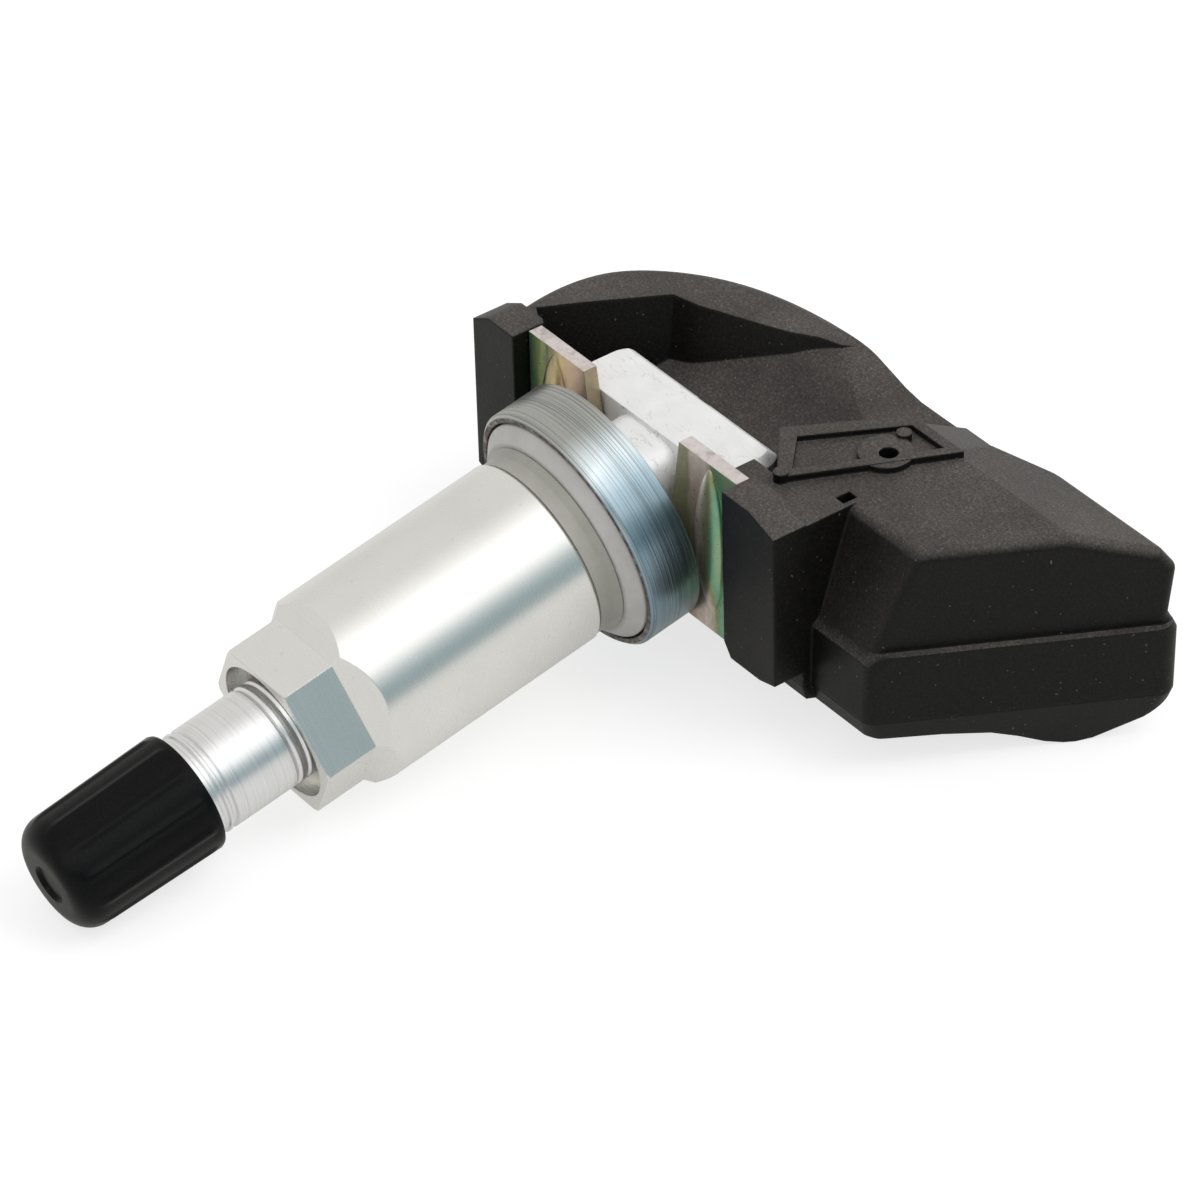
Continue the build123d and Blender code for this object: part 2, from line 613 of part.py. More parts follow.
def make_pressure_chip():
    """Pressure sensing package with its raised inlet."""
    x, y = PORT_AT
    body = block(x - 2.4, x + 2.6, y - 2.4, y + 2.4, BOARD_TOP, BOARD_TOP + CHIP_T)
    return body - upright(x, y, PORT_R, BOARD_TOP + 0.6, BOARD_TOP + 4)


def make_port_sleeve():
    """Soft tube from the sensing package to the hole in the roof."""
    x, y = PORT_AT
    tube = upright(x, y, PORT_R + 0.9, BOARD_TOP + CHIP_T, BOX_CEILING)
    return tube - upright(x, y, PORT_R, BOARD_TOP, BOX_CEILING + 1)


def make_radio_chip():
    """Radio package with its row of leads on two sides."""
    x, y = RADIO_AT
    chip = block(x - 1.9, x + 1.9, y - 2.4, y + 2.4, BOARD_TOP + 0.15, BOARD_TOP + 1.5)
    for side in (-1, 1):
        for index in range(5):
            lead_y = y + (index - 2) * 0.95
            lead = block(1.8, 2.7, lead_y - 0.2, lead_y + 0.2, BOARD_TOP, BOARD_TOP + 0.5)
            chip = chip + (Pos(x, 0, 0) * (lead if side > 0 else lead.mirror(Plane.YZ)))
    return chip


def make_crystal():
    """Oval crystal can."""
    x, y = CRYSTAL_AT
    can = extrude(SlotOverall(5.0, 2.2), 1.3)
    brim = extrude(SlotOverall(5.6, 2.8), 0.3)
    return Pos(x, y, BOARD_TOP) * (can + brim)


def make_coil_core():
    """Ferrite rod with end blocks for the wake-up coil."""
    x, y = COIL_AT
    rod = block(x - 1.0, x + 1.0, y - 3.6, y + 3.6, BOARD_TOP + 1.0, BOARD_TOP + 3.0)
    for end in (-1, 1):
        at = y + end * 4.0
        rod = rod + block(x - 1.6, x + 1.6, at - 0.5, at + 0.5, BOARD_TOP, BOARD_TOP + 3.6)
    return rod


def make_coil_winding():
    """Winding around the ferrite rod."""
    x, y = COIL_AT
    wound = block(x - 1.5, x + 1.5, y - 3.4, y + 3.4, BOARD_TOP + 0.5, BOARD_TOP + 3.5)
    return wound - block(x - 1.02, x + 1.02, y - 4, y + 4, BOARD_TOP + 0.98, BOARD_TOP + 3.02)


def make_antenna():
    """Bent strip that stands on the board as the transmitting loop."""
    turn = math.radians(END_ANGLE)
    left = ANTENNA_LEFT
    right = END_POINT[0] + (ANTENNA_Y - END_POINT[1]) * math.tan(turn)
    right -= (WALL + BOARD_GAP) / math.cos(turn) + ANTENNA_END_GAP
    high = BOARD_TOP + ANTENNA_HIGH
    strip = block(left, right, ANTENNA_Y, ANTENNA_Y + 0.5, high - 1.2, high)
    for x in (left, right - 1.2):
        strip = strip + block(x, x + 1.2, ANTENNA_Y, ANTENNA_Y + 0.5, BOARD_TOP, high)
    return strip


def make_capacitors():
    """Row of small capacitors along the board's front."""
    group = Part()
    for x, y in CAPACITORS:
        group = group + block(x - 0.8, x + 0.8, y - 0.4, y + 0.4, BOARD_TOP, BOARD_TOP + 0.8)
    return group


nodes = {}
nodes["housing"] = make_housing()
nodes["base_cover"] = make_cover()
nodes["circuit_board"] = make_board()
nodes["bracket"] = make_bracket()
nodes["valve_stem"] = make_stem()
nodes["seal_ring"] = VALVE * make_ring()
nodes["rim_seal"] = VALVE * make_seal()
nodes["nut_washer"] = VALVE * make_washer()
nodes["valve_nut"] = VALVE * make_nut()
nodes["dust_cap"] = VALVE * make_cap()
nodes["cap_seal"] = VALVE * make_cap_seal()
nodes["core_body"] = VALVE * make_core_body()
nodes["core_pin"] = VALVE * make_core_pin()
nodes["core_spring"] = VALVE * make_core_spring()
nodes["core_gasket"] = VALVE * make_core_gasket()

nodes["battery_cell"] = make_cell()
nodes["cell_tab_upper"] = make_upper_tab()
nodes["cell_tab_lower"] = make_lower_tab()
nodes["pressure_chip"] = make_pressure_chip()
nodes["port_sleeve"] = make_port_sleeve()
nodes["radio_chip"] = make_radio_chip()
nodes["crystal_can"] = make_crystal()
nodes["coil_core"] = make_coil_core()
nodes["coil_winding"] = make_coil_winding()
nodes["antenna_loop"] = make_antenna()
nodes["capacitors"] = make_capacitors()

# Tip the whole part until the cap and the cover's ridge stand on one floor,
# then put the middle of its footprint at the origin.
tipped = {name: Rot(-REST_PITCH, 0, 0) * shape for name, shape in nodes.items()}
boxes = [shape.bounding_box() for shape in tipped.values()]
x_mid = (min(b.min.X for b in boxes) + max(b.max.X for b in boxes)) / 2
y_mid = (min(b.min.Y for b in boxes) + max(b.max.Y for b in boxes)) / 2
ground = Pos(-x_mid, -y_mid, -min(b.min.Z for b in boxes))

for name, shape in tipped.items():
    export_step(ground * shape, f"parts/{name}.step")
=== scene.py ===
"""Studio scene of a clamp-in tyre pressure sensor.

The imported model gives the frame. Pieces are drawn in the seat frame of the sensor, whose origin is the middle of the
steel ring's back face: X along the bracket plate, Y from the valve into the wheel, Z up, in millimetres. A stem frame
shares that origin and is drooped with the valve. Both are placed into the model's own frame in metres.
"""
import math

import bmesh
import bpy
import numpy as np
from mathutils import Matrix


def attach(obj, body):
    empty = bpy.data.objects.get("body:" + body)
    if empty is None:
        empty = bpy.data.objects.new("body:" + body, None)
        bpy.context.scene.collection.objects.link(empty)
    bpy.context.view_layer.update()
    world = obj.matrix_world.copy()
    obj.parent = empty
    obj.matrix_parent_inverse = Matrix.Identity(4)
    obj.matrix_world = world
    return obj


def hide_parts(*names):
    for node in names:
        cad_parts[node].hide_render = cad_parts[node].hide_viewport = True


bl_info = {
    "name": "Tyre pressure sensor",
    "version": (1, 0, 0),
    "blender": (4, 5, 0),
    "location": "View3D > Sidebar > Sensor",
    "description": "Builds the visible pieces and the studio of a tyre pressure sensor",
    "category": "Object",
}

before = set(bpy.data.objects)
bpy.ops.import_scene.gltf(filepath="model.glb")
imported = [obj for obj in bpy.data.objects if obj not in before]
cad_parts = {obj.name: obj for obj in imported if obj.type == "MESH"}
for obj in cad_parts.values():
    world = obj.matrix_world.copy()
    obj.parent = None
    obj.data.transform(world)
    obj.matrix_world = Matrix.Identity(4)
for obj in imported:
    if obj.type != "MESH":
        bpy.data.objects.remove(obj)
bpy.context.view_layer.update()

REST_TILT = 1.8
DROOP = 11.5
SEAT_PLACE = (-8.203, 12.971, 12.343)
HEAD_STATION = 0.3
RIM_STATION = -4.2
PLATE_FRONT = 1.75
PLATE_THICK = 1.13
LEAF_MIDDLE = 8.9


def turn_x(degrees):
    """Rotation matrix about X."""
    a = math.radians(degrees)
    return np.array([[1, 0, 0], [0, math.cos(a), -math.sin(a)], [0, math.sin(a), math.cos(a)]])


VALVE_TURN = DROOP - REST_TILT
SEAT = turn_x(-REST_TILT)
STEM = SEAT @ turn_x(DROOP)


def placed(points, axes):
    """Points in a drawing frame, in millimetres, to the model's frame in metres."""
    flat = np.asarray(points, float).reshape(-1, 3)
    return ((flat @ axes.T + np.array(SEAT_PLACE)) * 0.001).reshape(np.shape(points))


# Sizes and colours


class MouldedLook(bpy.types.PropertyGroup):
    tone: bpy.props.FloatVectorProperty(
        name="Plastic colour", description="Colour of the moulded housing", subtype="COLOR", size=3,
        default=(0.0056, 0.0050, 0.0047), min=0, max=1)
    grain: bpy.props.FloatProperty(
        name="Grain", description="Height of the moulded grain", unit="LENGTH", default=0.00002, min=0)
    edge: bpy.props.FloatProperty(
        name="Edge radius", description="Rounding of the moulded edges", unit="LENGTH", default=0.0003, min=0)


class MetalLook(bpy.types.PropertyGroup):
    nut_tone: bpy.props.FloatVectorProperty(
        name="Nut colour", description="Satin aluminium of the sleeve nut", subtype="COLOR", size=3,
        default=(0.90, 0.89, 0.86), min=0, max=1)
    stem_tone: bpy.props.FloatVectorProperty(
        name="Stem colour", description="Turned aluminium of the stem", subtype="COLOR", size=3,
        default=(0.93, 0.93, 0.93), min=0, max=1)
    ring_tone: bpy.props.FloatVectorProperty(
        name="Ring colour", description="Blue zinc plating of the steel ring", subtype="COLOR", size=3,
        default=(0.44, 0.49, 0.51), min=0, max=1)
    edge: bpy.props.FloatProperty(
        name="Edge radius", description="Broken edges of the turned parts", unit="LENGTH", default=0.00012, min=0)


class CapSize(bpy.types.PropertyGroup):
    ribs: bpy.props.IntProperty(name="Ribs", description="Ribs round the dust cap", default=12, min=3)
    rise: bpy.props.FloatProperty(
        name="Rib height", description="How far a rib stands out", unit="LENGTH", default=0.00013, min=0)


class StageSize(bpy.types.PropertyGroup):
    floor: bpy.props.FloatProperty(
        name="Floor size", description="Side of the square floor", unit="LENGTH", default=6.0, min=0.5)


# Mesh helpers


def surface(name, grid, axes, closed_u=True, flip=False, angle=32.0):
    """A mesh over a grid of points: rows of the grid are joined to the next row by four-cornered faces. With closed_u
    the last column joins the first again."""
    rows, columns = grid.shape[:2]
    index = np.arange(rows * columns).reshape(rows, columns)
    beside = np.roll(index, -1, axis=1)
    if not closed_u:
        index, beside = index[:, :-1], beside[:, :-1]
    quads = np.stack([index[:-1], beside[:-1], beside[1:], index[1:]], axis=-1).reshape(-1, 4)
    if flip:
        quads = quads[:, ::-1]
    mesh = bpy.data.meshes.new(name)
    mesh.from_pydata(placed(grid, axes).reshape(-1, 3).tolist(), [], quads.tolist())
    return finished(name, mesh, angle)


def finished(name, mesh, angle):
    """Merge doubles, point the faces outwards, shade smooth with sharp edges past an angle, and link the object."""
    work = bmesh.new()
    work.from_mesh(mesh)
    bmesh.ops.remove_doubles(work, verts=work.verts, dist=2e-7)
    bmesh.ops.dissolve_degenerate(work, edges=work.edges, dist=1e-8)
    bmesh.ops.recalc_face_normals(work, faces=work.faces)
    work.to_mesh(mesh)
    work.free()
    mesh.shade_smooth()
    mesh.set_sharp_from_angle(angle=math.radians(angle))
    piece = bpy.data.objects.new(name, mesh)
    bpy.context.scene.collection.objects.link(piece)
    return piece


def dressed_copy(name, node, angle=32.0):
    """A merged copy of a CAD node, smooth over its curves, that stands for the node."""
    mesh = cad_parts[node].data.copy()
    mesh.name = name
    mesh.materials.clear()
    for layer in ("custom_normal", "sharp_edge", "sharp_face"):
        if layer in mesh.attributes:
            mesh.attributes.remove(mesh.attributes[layer])
    piece = finished(name, mesh, angle)
    even = piece.modifiers.new("even_flats", "WEIGHTED_NORMAL")
    even.mode = "FACE_AREA_WITH_ANGLE"
    even.keep_sharp = True
    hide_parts(node)
    return piece


def turned(name, profile, sides=160, angle=32.0):
    """A profile of (radius, station) points carried round the valve's axis: x = radius cos a, z = radius sin a. A
    closed profile makes a closed ring."""
    profile = np.array(profile, float)
    around = np.linspace(0, 2 * math.pi, sides, endpoint=False)
    radius, station = profile[:, :1], profile[:, 1:]
    grid = np.stack([radius * np.cos(around), station + 0 * around, radius * np.sin(around)], axis=-1)
    return surface(name, grid, STEM, angle=angle)


def stations(mesh):
    """Each face's place along the valve, in millimetres from the ring's back face and positive into the wheel."""
    centres = np.zeros(len(mesh.polygons) * 3)
    mesh.polygons.foreach_get("center", centres)
    return (centres.reshape(-1, 3) * 1000 - np.array(SEAT_PLACE)) @ STEM[:, 1]


def closed(points):
    """A profile that ends where it starts."""
    return list(points) + [points[0]]


def rounded(points, radii, steps=5):
    """A polygon whose corners are replaced by arcs: each corner is cut where a circle of its radius touches both
    sides, and the arc between is followed in even steps of angle."""
    points = np.array(points, float)
    out = []
    count = len(points)
    for i in range(count):
        r = radii[i]
        here, before, after = points[i], points[i - 1], points[(i + 1) % count]
        if r <= 0:
            out.append(here[None])
            continue
        a = (before - here) / np.linalg.norm(before - here)
        b = (after - here) / np.linalg.norm(after - here)
        half = math.acos(float(np.clip(a @ b, -1, 1))) / 2
        cut = r / math.tan(half)
        middle = here + (a + b) / np.linalg.norm(a + b) * (r / math.sin(half))
        start, end = here + a * cut - middle, here + b * cut - middle
        sweep = math.atan2(start[0] * end[1] - start[1] * end[0], start @ end)
        t = np.linspace(0, 1, steps + 1) * sweep
        arc = np.stack([start[0] * np.cos(t) - start[1] * np.sin(t), start[0] * np.sin(t) + start[1] * np.cos(t)], 1)
        out.append(middle + arc)
    return np.concatenate(out)


# Material helpers


def new_material(name):
    """An empty material with its main shader."""
    material = bpy.data.materials.new(name)
    material.use_nodes = True
    tree = material.node_tree
    return material, tree, tree.nodes["Principled BSDF"]


def own_place(tree, turn=0.0, scale=(1000.0, 1000.0, 1000.0), shift=(0.0, 0.0, 0.0)):
    """The point on the piece in millimetres, turned about X so that Y can follow the valve."""
    source = tree.nodes.new("ShaderNodeTexCoord")
    mapping = tree.nodes.new("ShaderNodeMapping")
    mapping.vector_type = "TEXTURE"
    mapping.inputs["Location"].default_value = shift
    mapping.inputs["Rotation"].default_value = (math.radians(turn), 0, 0)
    mapping.inputs["Scale"].default_value = tuple(1.0 / s for s in scale)
    tree.links.new(source.outputs["Object"], mapping.inputs["Vector"])
    return mapping.outputs["Vector"]


def noise(tree, place, scale, detail=2.0, rough=0.5):
    """Soft noise at a scale in cycles per millimetre."""
    node = tree.nodes.new("ShaderNodeTexNoise")
    node.inputs["Scale"].default_value = scale
    node.inputs["Detail"].default_value = detail
    node.inputs["Roughness"].default_value = rough
    tree.links.new(place, node.inputs["Vector"])
    return node.outputs["Fac"]


def ramp(tree, value, stops):
    """Colours or greys along a value."""
    node = tree.nodes.new("ShaderNodeValToRGB")
    elements = node.color_ramp.elements
    while len(elements) < len(stops):
        elements.new(0.5)
    for element, (at, colour) in zip(elements, stops):
        element.position = at
        grey = not hasattr(colour, "__len__")
        element.color = (colour, colour, colour, 1) if grey else tuple(colour) + (1,)
    tree.links.new(value, node.inputs["Fac"])
    return node.outputs["Color"]


def blend_colour(tree, factor, first, second, kind="MIX"):
    """Mix of two colours, each a socket or a plain colour."""
    node = tree.nodes.new("ShaderNodeMix")
    node.data_type = "RGBA"
    node.blend_type = kind
    for name, value in (("Factor", factor), ("A", first), ("B", second)):
        socket = [s for s in node.inputs if s.name == name and s.type == ("VALUE" if name == "Factor" else "RGBA")][0]
        if isinstance(value, bpy.types.NodeSocket):
            tree.links.new(value, socket)
        else:
            socket.default_value = value if name == "Factor" else tuple(value) + (1,)
    return [s for s in node.outputs if s.type == "RGBA"][0]


def maths(tree, operation, first, second=0.0):
    """One sum on sockets or numbers."""
    node = tree.nodes.new("ShaderNodeMath")
    node.operation = operation
    for socket, value in zip(node.inputs, (first, second)):
        if isinstance(value, bpy.types.NodeSocket):
            tree.links.new(value, socket)
        else:
            socket.default_value = value
    return node.outputs["Value"]


def along(tree, place, scale):
    """Only the station along the valve, stretched, so that a pattern runs in circles round it."""
    split = tree.nodes.new("ShaderNodeSeparateXYZ")
    join = tree.nodes.new("ShaderNodeCombineXYZ")
    tree.links.new(place, split.inputs["Vector"])
    for axis, factor in (("X", scale[0]), ("Y", scale[1]), ("Z", scale[2])):
        tree.links.new(maths(tree, "MULTIPLY", split.outputs[axis], factor), join.inputs[axis])
    return join.outputs["Vector"]


def relief(tree, shader, height, distance, strength=1.0, edge=0.0):
    """Bump from a height, over edges rounded by a small radius."""
    node = tree.nodes.new("ShaderNodeBump")
    node.inputs["Distance"].default_value = distance
    node.inputs["Strength"].default_value = strength
    tree.links.new(height, node.inputs["Height"])
    if edge > 0:
        soft = tree.nodes.new("ShaderNodeBevel")
        soft.samples = 4
        soft.inputs["Radius"].default_value = edge
        tree.links.new(soft.outputs["Normal"], node.inputs["Normal"])
    tree.links.new(node.outputs["Normal"], shader.inputs["Normal"])


def upward(tree):
    """How far the surface faces up: 0 for walls and 1 for level tops."""
    split = tree.nodes.new("ShaderNodeSeparateXYZ")
    tree.links.new(tree.nodes.new("ShaderNodeTexCoord").outputs["Normal"], split.inputs["Vector"])
    return ramp(tree, split.outputs["Z"], [(0.25, 0.0), (0.9, 1.0)])


def moulded_plastic(name, tone, grain, edge, shine=0.4, gloss=0.2, specks_and_top_light=0.3):
    """Glass-filled black plastic: fine grain, a much paler colour on the faces that look up as painted light from
    above, and a few pale dust specks.
    """
    material, tree, shader = new_material(name)
    place = own_place(tree)
    fine = noise(tree, place, 5.5, 3.0, 0.65)
    broad = noise(tree, place, 0.16, 3.0, 0.55)
    tone = np.array(tone)
    body = ramp(tree, fine, [(0.30, tone * 0.4), (0.52, tone), (0.72, tone * 2.2)])
    patch = ramp(tree, broad, [(0.3, 0.55), (0.7, 1.0)])
    top_light_on = 1.0 if specks_and_top_light > 0 else 0.0
    # Painted light: faces that look up take a much paler colour, standing in for the sheen of the light from above,
    # varied by a slow noise.
    top_light_mask = maths(tree, "MULTIPLY", maths(tree, "MULTIPLY", upward(tree), patch), top_light_on)
    painted_top_light = ramp(tree, fine, [(0.30, tone * 8.0), (0.55, tone * 16.0), (0.75, tone * 32.0)])
    colour = blend_colour(tree, top_light_mask, body, painted_top_light)
    # Real dust: a few pale specks anywhere on the surface.
    specks = noise(tree, place, 4.2, 0.0)
    dusty = ramp(tree, specks, [(0.825, 0.0), (0.85, 1.0)])
    colour = blend_colour(tree, maths(tree, "MULTIPLY", dusty, specks_and_top_light), colour, (0.30, 0.27, 0.23))
    tree.links.new(colour, shader.inputs["Base Color"])
    tree.links.new(ramp(tree, broad, [(0.3, shine - 0.05), (0.7, shine + 0.07)]), shader.inputs["Roughness"])
    shader.inputs["Specular IOR Level"].default_value = gloss
    relief(tree, shader, fine, grain, 0.9, edge)
    return material


def satin_metal(name, tone, rough, edge, lines):
    """Satin aluminium: a slow change of tone, a few dull flecks and a trace of turning in the gloss."""
    material, tree, shader = new_material(name)
    place = own_place(tree, VALVE_TURN)
    rings = noise(tree, along(tree, place, (0.01, 3.0, 0.01)), 1.0, 2.0, 0.5)
    cloud = noise(tree, place, 0.22, 2.0)
    fleck = noise(tree, place, 2.2, 0.0)
    tone = np.array(tone)
    colour = ramp(tree, cloud, [(0.3, tone * 0.975), (0.7, np.minimum(tone * 1.02, 1.0))])
    spots = ramp(tree, fleck, [(0.80, 0.0), (0.85, 1.0)])
    colour = blend_colour(tree, maths(tree, "MULTIPLY", spots, 0.25), colour, tuple(tone * 0.72))
    tree.links.new(colour, shader.inputs["Base Color"])
    shader.inputs["Metallic"].default_value = 1.0
    grey = ramp(tree, rings, [(0.3, rough - 0.004), (0.7, rough + 0.008)])
    tree.links.new(grey, shader.inputs["Roughness"])
    relief(tree, shader, cloud, 0.000002, lines, edge)
    return material


def turned_stem(name, tone, edge):
    """Bright turned aluminium with clear tool rings."""
    material, tree, shader = new_material(name)
    place = own_place(tree, VALVE_TURN)
    rings = noise(tree, along(tree, place, (0.01, 3.0, 0.01)), 1.0, 4.0, 0.7)
    streak = noise(tree, along(tree, place, (0.2, 5.0, 0.2)), 1.0, 2.0, 0.6)
    tone = np.array(tone)
    colour = ramp(tree, rings, [(0.36, tone * 0.8), (0.5, tone * 0.95), (0.64, tone)])
    worn = ramp(tree, streak, [(0.56, 0.0), (0.7, 1.0)])
    colour = blend_colour(tree, maths(tree, "MULTIPLY", worn, 0.3), colour, tuple(tone * np.array([0.82, 0.78, 0.8])))
    tree.links.new(colour, shader.inputs["Base Color"])
    shader.inputs["Metallic"].default_value = 1.0
    tree.links.new(ramp(tree, rings, [(0.3, 0.24), (0.7, 0.36)]), shader.inputs["Roughness"])
    relief(tree, shader, rings, 0.000008, 0.5, edge)
    return material


def scuffed_head(name, tone, edge):
    """Pale tumbled aluminium of the stem's head, with fine scratches."""
    material, tree, shader = new_material(name)
    place = own_place(tree, VALVE_TURN)
    cloud = noise(tree, place, 0.5, 3.0, 0.6)
    warp = noise(tree, place, 0.35, 3.0, 0.6)
    scratch = ramp(tree, noise(tree, along(tree, place, (0.5, 2.2, 1.0)), 0.8, 2.0),
                   [(0.488, 0.0), (0.5, 1.0), (0.512, 0.0)])
    where = ramp(tree, warp, [(0.47, 0.0), (0.56, 1.0)])
    mark = maths(tree, "MULTIPLY", scratch, where)
    tone = np.array(tone)
    colour = ramp(tree, cloud, [(0.3, tone * 0.95), (0.7, np.minimum(tone * 1.02, 1.0))])
    colour = blend_colour(tree, maths(tree, "MULTIPLY", mark, 0.6), colour, tuple(tone * 0.4))
    tree.links.new(colour, shader.inputs["Base Color"])
    shader.inputs["Metallic"].default_value = 0.45
    tree.links.new(ramp(tree, cloud, [(0.3, 0.42), (0.7, 0.55)]), shader.inputs["Roughness"])
    relief(tree, shader, cloud, 0.00002, 0.3, edge)
    return material


def zinc_ring(name, tone, edge):
    """Blue zinc on turned steel: fine dark and light rings round the axis, broken along their length, over a change
    that is partly the plating's own blue and partly painted light: warm grey above, a painted highlight band, and a
    blue that darkens lower down as painted shade."""
    material, tree, shader = new_material(name)
    place = own_place(tree, VALVE_TURN)
    rings = noise(tree, along(tree, place, (0.03, 9.5, 0.03)), 1.0, 2.0, 0.6)
    streak = noise(tree, along(tree, place, (0.35, 9.0, 0.35)), 1.0, 3.0, 0.6)
    cloud = noise(tree, along(tree, place, (0.2, 0.08, 0.2)), 1.0, 2.0)
    tone = np.array(tone)
    warm = tone * np.array([1.12, 1.02, 0.92])
    cold = tone * np.array([0.78, 0.98, 1.1])
    split = tree.nodes.new("ShaderNodeSeparateXYZ")
    tree.links.new(place, split.inputs["Vector"])
    # Painted light: along X minus Z the colour runs from warm grey through a painted highlight band to a darker blue
    # as painted shade, loosened by a slow noise.
    low = maths(tree, "SUBTRACT", split.outputs["X"], split.outputs["Z"])
    low = maths(tree, "DIVIDE", maths(tree, "ADD", low, 32.0), 60.0)
    low = maths(tree, "ADD", low, maths(tree, "MULTIPLY", cloud, 0.25))
    colour = ramp(tree, low, [(0.2, warm), (0.31, tone * 1.75), (0.42, cold * 0.95), (0.62, cold * 0.6)])
    dark = ramp(tree, rings, [(0.40, 1.0), (0.50, 0.0)])
    colour = blend_colour(tree, maths(tree, "MULTIPLY", dark, 0.55), colour, tuple(tone * 0.25))
    worn = ramp(tree, streak, [(0.6, 0.0), (0.72, 1.0)])
    colour = blend_colour(tree, maths(tree, "MULTIPLY", worn, 0.3), colour, (0.66, 0.69, 0.68))
    tree.links.new(colour, shader.inputs["Base Color"])
    shader.inputs["Metallic"].default_value = 1.0
    tree.links.new(ramp(tree, rings, [(0.3, 0.38), (0.7, 0.26)]), shader.inputs["Roughness"])
    relief(tree, shader, rings, 0.00003, 0.7, edge)
    return material


def ring_rim(name, edge):
    """Turned rim of the ring: dark brown as painted shade of the narrow gap at the seal, broken by bright bare steel
    where the rim is worn.
    """
    material, tree, shader = new_material(name)
    place = own_place(tree, VALVE_TURN)
    patch = noise(tree, place, 1.6, 4.0, 0.7)
    # Painted shade: the dark brown stands in for the shadow in the gap between rim and seal; the pale patches are worn
    # bare steel.
    colour = ramp(tree, patch, [(0.4, (0.09, 0.07, 0.06)), (0.55, (0.2, 0.17, 0.16)), (0.7, (0.5, 0.49, 0.47))])
    tree.links.new(colour, shader.inputs["Base Color"])
    shader.inputs["Metallic"].default_value = 0.9
    tree.links.new(ramp(tree, patch, [(0.3, 0.55), (0.7, 0.35)]), shader.inputs["Roughness"])
    relief(tree, shader, patch, 0.00003, 0.6, edge)
    return material


def chromate_plate(name, edge):
    """Yellow chromate on steel. Bands of olive, pink, straw and green lie side by side across each leaf and wander a
    little with a slow noise. The dark green band at the outer end of the left leaf is painted shadow of the housing's
    wing."""
    material, tree, shader = new_material(name)
    place = own_place(tree, -REST_TILT, shift=tuple(0.001 * c for c in SEAT_PLACE))
    wander = noise(tree, along(tree, place, (0.5, 0.5, 0.16)), 1.0, 3.0, 0.6)
    fine = noise(tree, place, 2.4, 3.0, 0.6)
    split = tree.nodes.new("ShaderNodeSeparateXYZ")
    tree.links.new(place, split.inputs["Vector"])
    drift = maths(tree, "MULTIPLY", maths(tree, "SUBTRACT", wander, 0.5), 3.0)
    across = maths(tree, "ADD", split.outputs["X"], drift)
    across = maths(tree, "DIVIDE", maths(tree, "ADD", across, 12.5), 25.0)
    # The first stop, dark green at the left leaf's outer end, is painted shadow of the housing's wing; the other bands
    # are the plating's colours.
    colour = ramp(tree, across, [
        (0.03, (0.16, 0.34, 0.20)), (0.07, (0.52, 0.62, 0.25)), (0.12, (0.12, 0.16, 0.09)),
        (0.17, (0.74, 0.58, 0.30)), (0.25, (0.62, 0.42, 0.34)), (0.32, (0.30, 0.28, 0.15)),
        (0.76, (0.30, 0.29, 0.18)), (0.79, (0.66, 0.54, 0.44)), (0.83, (0.90, 0.76, 0.70)),
        (0.865, (0.34, 0.36, 0.18)), (0.89, (0.22, 0.50, 0.32)), (0.96, (0.55, 0.60, 0.34))])
    dull = ramp(tree, fine, [(0.35, 0.0), (0.8, 1.0)])
    colour = blend_colour(tree, maths(tree, "MULTIPLY", dull, 0.25), colour, (0.25, 0.22, 0.15))
    tree.links.new(colour, shader.inputs["Base Color"])
    shader.inputs["Metallic"].default_value = 0.7
    tree.links.new(ramp(tree, fine, [(0.3, 0.26), (0.7, 0.38)]), shader.inputs["Roughness"])
    relief(tree, shader, fine, 0.00001, 0.5, edge)
    return material


def sheared_edge(name, edge):
    """Cut edge of the plate: pale pinkish zinc with grey scuffs."""
    material, tree, shader = new_material(name)
    place = own_place(tree, -REST_TILT)
    patch = noise(tree, place, 0.9, 4.0, 0.65)
    colour = ramp(tree, patch, [(0.34, (0.56, 0.50, 0.47)), (0.48, (0.76, 0.69, 0.67)), (0.7, (0.86, 0.80, 0.79))])
    tree.links.new(colour, shader.inputs["Base Color"])
    shader.inputs["Metallic"].default_value = 0.75
    tree.links.new(ramp(tree, patch, [(0.3, 0.5), (0.7, 0.38)]), shader.inputs["Roughness"])
    relief(tree, shader, patch, 0.00002, 0.5, edge)
    return material


def pale_rubber(name, tone, rough, edge):
    """Pale seal rubber with a faint bloom."""
    material, tree, shader = new_material(name)
    place = own_place(tree)
    bloom = noise(tree, place, 0.6, 3.0, 0.6)
    fine = noise(tree, place, 5.0, 2.0)
    tone = np.array(tone)
    tree.links.new(ramp(tree, bloom, [(0.3, tone * 0.92), (0.7, tone * 1.04)]), shader.inputs["Base Color"])
    tree.links.new(ramp(tree, fine, [(0.3, rough - 0.05), (0.7, rough + 0.08)]), shader.inputs["Roughness"])
    relief(tree, shader, fine, 0.00001, 0.5, edge)
    return material


def plain_part(name, tone, rough, metal=0.0, speck=0.12):
    """Small inner part: one tone with a fine variation in colour and gloss."""
    material, tree, shader = new_material(name)
    place = own_place(tree)
    fine = noise(tree, place, 2.0, 3.0, 0.6)
    tone = np.array(tone)
    tree.links.new(ramp(tree, fine, [(0.3, tone * (1 - speck)), (0.7, np.minimum(tone * (1 + speck), 1.0))]),
                   shader.inputs["Base Color"])
    tree.links.new(ramp(tree, fine, [(0.3, rough - 0.05), (0.7, rough + 0.05)]), shader.inputs["Roughness"])
    shader.inputs["Metallic"].default_value = metal
    relief(tree, shader, fine, 0.00001, 0.4, 0.0)
    return material


